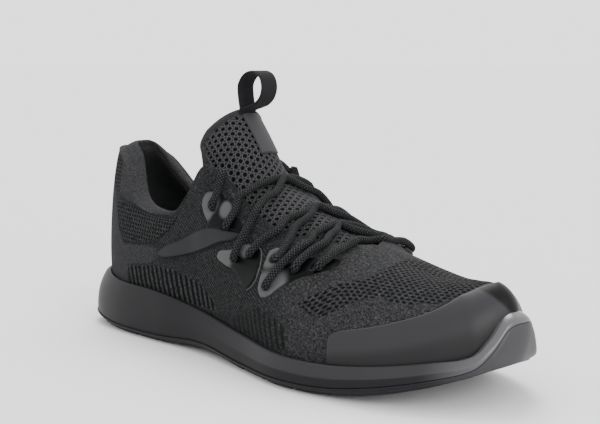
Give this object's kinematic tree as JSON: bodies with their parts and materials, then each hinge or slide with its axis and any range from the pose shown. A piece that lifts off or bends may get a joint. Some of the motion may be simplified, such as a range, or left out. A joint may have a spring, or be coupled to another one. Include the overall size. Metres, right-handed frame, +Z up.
{
  "type": "safety sneaker",
  "caption": "Low laced safety sneaker for the right foot: knitted upper, mesh tongue with a pull loop, thick flared foam sole and a rubber toe bumper.",
  "frame": {"origin": "on the floor, under the middle of the sole's length and width", "axes": "+X points to the toe, +Y to the inner side of the foot, +Z up"},
  "size_m": [0.3, 0.1083, 0.1519],
  "materials": {
    "outsole": "moulded satin rubber",
    "midsole": "smooth closed-cell foam skin",
    "knit": "ribbed knit",
    "lining": "smooth textile",
    "tongue_mesh": "spacer mesh with large holes",
    "toe_film": "satin bonded film",
    "eyelet_film": "glossy bonded film",
    "patch": "smooth patch",
    "webbing": "woven webbing",
    "lace": "round braid"
  },
  "bodies": {
    "root": {"outsole": "outsole", "midsole": "midsole", "insole": "lining", "upper": "knit", "toe_guard": "toe_film", "tongue": "tongue_mesh", "tongue_patch": "patch", "pull_loop": "webbing", "film_top_lateral": "eyelet_film", "film_middle_lateral": "eyelet_film", "film_front_lateral": "eyelet_film", "film_top_medial": "eyelet_film", "film_middle_medial": "eyelet_film", "film_front_medial": "eyelet_film", "lace_1": "lace", "lace_2": "lace", "lace_3": "lace", "lace_4": "lace", "lace_top_lateral": "lace", "lace_top_medial": "lace"}
  },
  "joints": []
}
